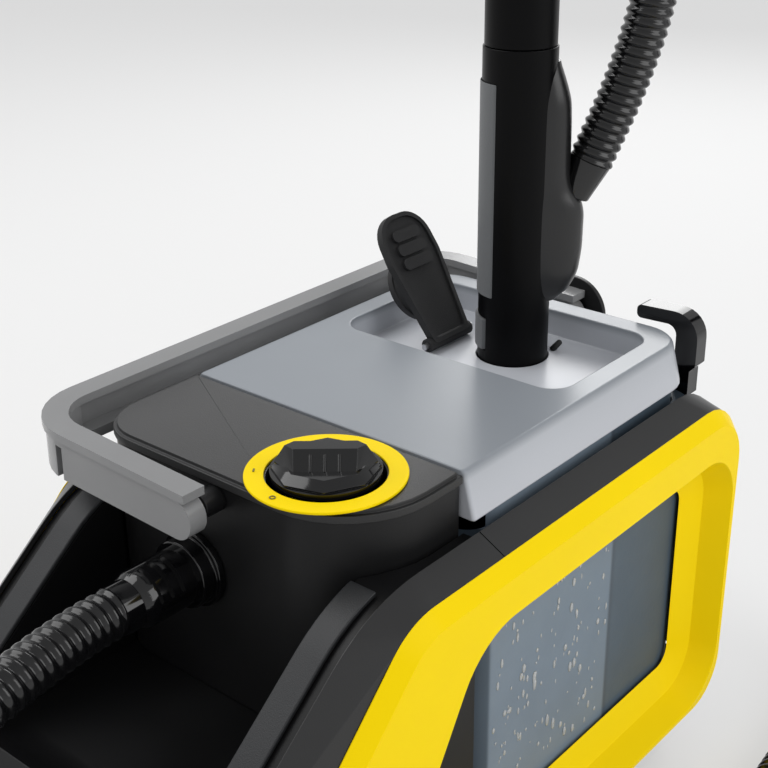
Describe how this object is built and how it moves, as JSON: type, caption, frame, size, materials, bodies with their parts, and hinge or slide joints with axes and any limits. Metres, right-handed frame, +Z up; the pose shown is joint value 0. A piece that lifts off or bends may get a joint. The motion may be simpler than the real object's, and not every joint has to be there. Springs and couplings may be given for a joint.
{
  "type": "carpet cleaner machine",
  "caption": "Cordless spray-extraction carpet cleaner with a smoked water tank, folding carry handle, control dial and a hose with its handpiece parked in the lid.",
  "frame": {"origin": "bottom centre of the machine on the floor, hoses left out", "axes": "+X to the rear with the water tank, -X to the front with the hose bay, +Z up, +Y to the side on which the folded carry handle lies"},
  "size_m": [0.709, 0.3089, 0.614],
  "materials": {
    "black_satin": "satin moulded plastic",
    "black_gloss": "polished moulded plastic",
    "yellow": "satin gloss moulded plastic",
    "grey_matt": "fine texture",
    "tank_clear": "smoked clear plastic",
    "lid_clear": "smoked clear plastic, satin",
    "handle_grey": "smoked plastic",
    "rubber_black": "matt rubber",
    "grip_grey": "soft matt rubber",
    "hose_black": "ribbed hose",
    "steel": "plated steel",
    "board_green": "solder mask",
    "inner_white": "moulded plastic",
    "inner_dark": "moulded plastic",
    "accent_red": "moulded plastic"
  },
  "bodies": {
    "root": {"base_tray": "black_satin", "tank_deck": "inner_dark", "front_shell": "black_satin", "cheek_right": "black_satin", "cheek_left": "black_satin", "rim_strip_right": "grey_matt", "rim_strip_left": "grey_matt", "nose_housing": "black_satin", "top_panel": "black_satin", "dial_ring": "yellow", "hose_socket": "black_gloss", "rear_wall": "black_satin", "side_frame_right": "yellow", "side_frame_left": "yellow", "trim_front_right": "black_satin", "trim_front_left": "black_satin", "trim_rear_right": "black_satin", "trim_rear_left": "black_satin", "feet": "rubber_black", "suction_motor": "steel", "fan_housing": "inner_dark", "duct_gasket": "rubber_black", "water_pump": "inner_dark", "feed_tube": "inner_white", "circuit_board": "board_green", "rotary_switch": "inner_white", "battery_dock": "inner_dark", "rear_hook": "black_gloss", "handle_pins": "inner_dark", "case_screws": "steel", "hose_cuff": "black_gloss", "hose_lower": "hose_black"},
    "fan": {"fan_impeller": "inner_white"},
    "bail": {"carry_handle": "handle_grey"},
    "dial": {"dial_knob": "black_gloss"},
    "tank": {"tank_shell": "tank_clear", "tank_divider": "tank_clear", "tank_lid": "lid_clear", "lid_gasket": "rubber_black", "port_seal": "rubber_black", "riser_tube": "tank_clear", "float_cage": "inner_white", "valve_body": "inner_dark", "flap_pin": "steel"},
    "float": {"float_ball": "inner_white"},
    "valve": {"valve_plunger": "accent_red"},
    "flap": {"port_flap": "rubber_black", "flap_plug": "rubber_black"},
    "handpiece": {"wand_tube": "black_satin", "wand_cover": "black_satin", "grip_inset": "grip_grey", "upper_grip": "black_satin", "hose_gland": "black_gloss", "hose_upper": "hose_black"},
    "trigger": {"trigger": "yellow"},
    "release_button": {"release_button": "grip_grey"},
    "battery": {"battery_pack": "inner_dark"},
    "battery_button": {"battery_button": "inner_white"}
  },
  "joints": [
    {"name": "fan_spin", "type": "hinge", "parent": "root", "child": "fan", "pos_m": [-0.045, 0.022, 0.17], "axis": [0, 0, 1], "continuous": true},
    {"name": "bail_turn", "type": "hinge", "parent": "root", "child": "bail", "pos_m": [0.05, 0, 0.264], "axis": [-1, 0, 0], "range_deg": [-66, 0]},
    {"name": "dial_turn", "type": "hinge", "parent": "root", "child": "dial", "pos_m": [-0.049, -0.041, 0.277], "axis": [0, 0, 1], "range_deg": [-90, 0]},
    {"name": "tank_lift", "type": "slide", "parent": "root", "child": "tank", "axis": [0, 0, 1], "range_m": [0, 0.2]},
    {"name": "float_rise", "type": "slide", "parent": "tank", "child": "float", "axis": [0, 0, 1], "range_m": [0, 0.02]},
    {"name": "valve_push", "type": "slide", "parent": "tank", "child": "valve", "axis": [0, 0, 1], "range_m": [0, 0.004], "stiffness_N_per_m": 400},
    {"name": "flap_turn", "type": "hinge", "parent": "tank", "child": "flap", "pos_m": [0.136, 0.0325, 0.2655], "axis": [1, 0, 0], "range_deg": [-26, 30]},
    {"name": "handpiece_lift", "type": "slide", "parent": "tank", "child": "handpiece", "axis": [0, 0, 1], "range_m": [0, 0.1]},
    {"name": "trigger_pull", "type": "hinge", "parent": "handpiece", "child": "trigger", "pos_m": [0.14029, 0.00419, 0.508], "axis": [0.766, 0.6428, 0], "range_deg": [-8, 0], "stiffness_Nm_per_rad": 0.5},
    {"name": "release_press", "type": "slide", "parent": "handpiece", "child": "release_button", "axis": [0.6428, -0.766, 0], "range_m": [0, 0.0025], "stiffness_N_per_m": 600},
    {"name": "battery_slide", "type": "slide", "parent": "root", "child": "battery", "axis": [1, 0, 0], "range_m": [0, 0.135]},
    {"name": "battery_button_press", "type": "slide", "parent": "battery", "child": "battery_button", "axis": [0, 0, -1], "range_m": [0, 0.002], "stiffness_N_per_m": 600}
  ]
}
